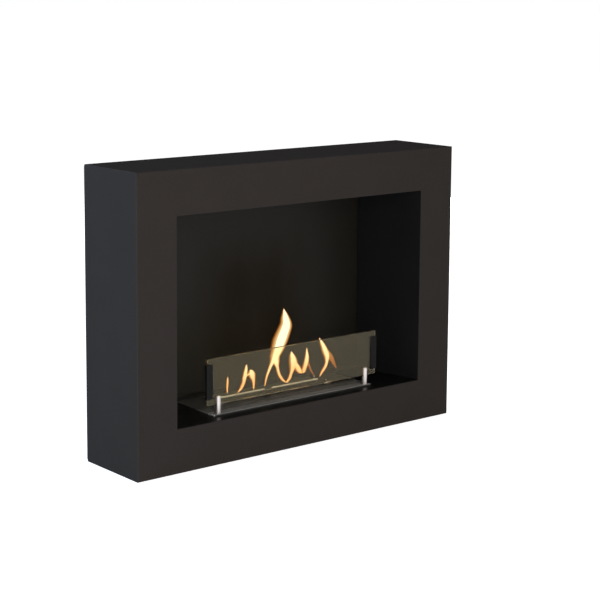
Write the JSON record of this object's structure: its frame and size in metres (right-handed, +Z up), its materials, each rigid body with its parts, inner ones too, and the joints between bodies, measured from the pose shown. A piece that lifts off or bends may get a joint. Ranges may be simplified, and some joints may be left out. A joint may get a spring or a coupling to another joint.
{
  "type": "bioethanol fireplace",
  "caption": "Black sheet-metal bioethanol fireplace with a tapered open firebox, a lift-out slot burner with a sliding snuffer lid, and a smoked glass screen in two slotted posts.",
  "frame": {"origin": "middle of the casing's base, halfway between its front face and its rear face", "axes": "+X to the right as seen from the front, +Y to the rear, +Z up. The open front faces -Y"},
  "size_m": [0.9, 0.2, 0.65],
  "materials": {
    "casing_black": "fine matt powder coat, brown-black",
    "rear_black": "matt powder coat, black",
    "firebox_black": "satin heat-resistant paint, black",
    "burner_steel": "satin brushed, darkened by heat",
    "bright_steel": "turned and polished",
    "zinc_steel": "zinc plated",
    "smoked_glass": "clear tempered glass with a bronze tint",
    "guard_black": "fine vertical ribs, matt",
    "porous_ceramic": "porous, unglazed",
    "silicone_pad": "matt"
  },
  "bodies": {
    "housing": {"outer_casing": "casing_black", "rear_panel": "rear_black", "rear_panel_screw_1": "zinc_steel", "rear_panel_screw_2": "zinc_steel", "rear_panel_screw_3": "zinc_steel", "rear_panel_screw_4": "zinc_steel", "rear_panel_screw_5": "zinc_steel", "rear_panel_screw_6": "zinc_steel", "rear_panel_screw_7": "zinc_steel", "rear_panel_screw_8": "zinc_steel", "firebox_floor": "firebox_black", "firebox_back": "firebox_black", "firebox_side_left": "firebox_black", "firebox_side_right": "firebox_black", "firebox_ceiling": "firebox_black", "firebox_nut_1": "zinc_steel", "firebox_nut_2": "zinc_steel", "firebox_nut_3": "zinc_steel", "firebox_nut_4": "zinc_steel", "firebox_nut_5": "zinc_steel", "firebox_nut_6": "zinc_steel", "firebox_nut_7": "zinc_steel", "firebox_nut_8": "zinc_steel", "firebox_nut_9": "zinc_steel", "firebox_nut_10": "zinc_steel", "firebox_back_screw_1": "zinc_steel", "firebox_back_screw_2": "zinc_steel", "firebox_back_screw_3": "zinc_steel", "firebox_back_screw_4": "zinc_steel", "firebox_back_screw_5": "zinc_steel", "firebox_back_screw_6": "zinc_steel"},
    "burner": {"burner_plate": "burner_steel", "fuel_tank": "burner_steel", "tank_nut_1": "zinc_steel", "tank_nut_2": "zinc_steel", "tank_nut_3": "zinc_steel", "tank_nut_4": "zinc_steel", "ceramic_stone_1": "porous_ceramic", "ceramic_stone_2": "porous_ceramic", "ceramic_stone_3": "porous_ceramic", "lid_guide_left": "burner_steel", "lid_guide_right": "burner_steel", "guide_rivet_1": "bright_steel", "guide_rivet_2": "bright_steel", "guide_rivet_3": "bright_steel", "guide_rivet_4": "bright_steel", "glass_post_left": "bright_steel", "post_pad_left": "silicone_pad", "post_screw_left": "zinc_steel", "glass_post_right": "bright_steel", "post_pad_right": "silicone_pad", "post_screw_right": "zinc_steel"},
    "lid": {"snuffer_lid": "burner_steel"},
    "screen": {"glass_pane": "smoked_glass", "glass_guard_left": "guard_black", "glass_guard_right": "guard_black"}
  },
  "joints": [
    {"name": "burner_lift_out", "type": "slide", "parent": "housing", "child": "burner", "axis": [0, 0, 1], "range_m": [0, 0.065]},
    {"name": "lid_slide", "type": "slide", "parent": "burner", "child": "lid", "axis": [0, -1, 0], "range_m": [0, 0.0285]},
    {"name": "screen_lift_out", "type": "slide", "parent": "burner", "child": "screen", "axis": [0, 0, 1], "range_m": [0, 0.1]}
  ]
}
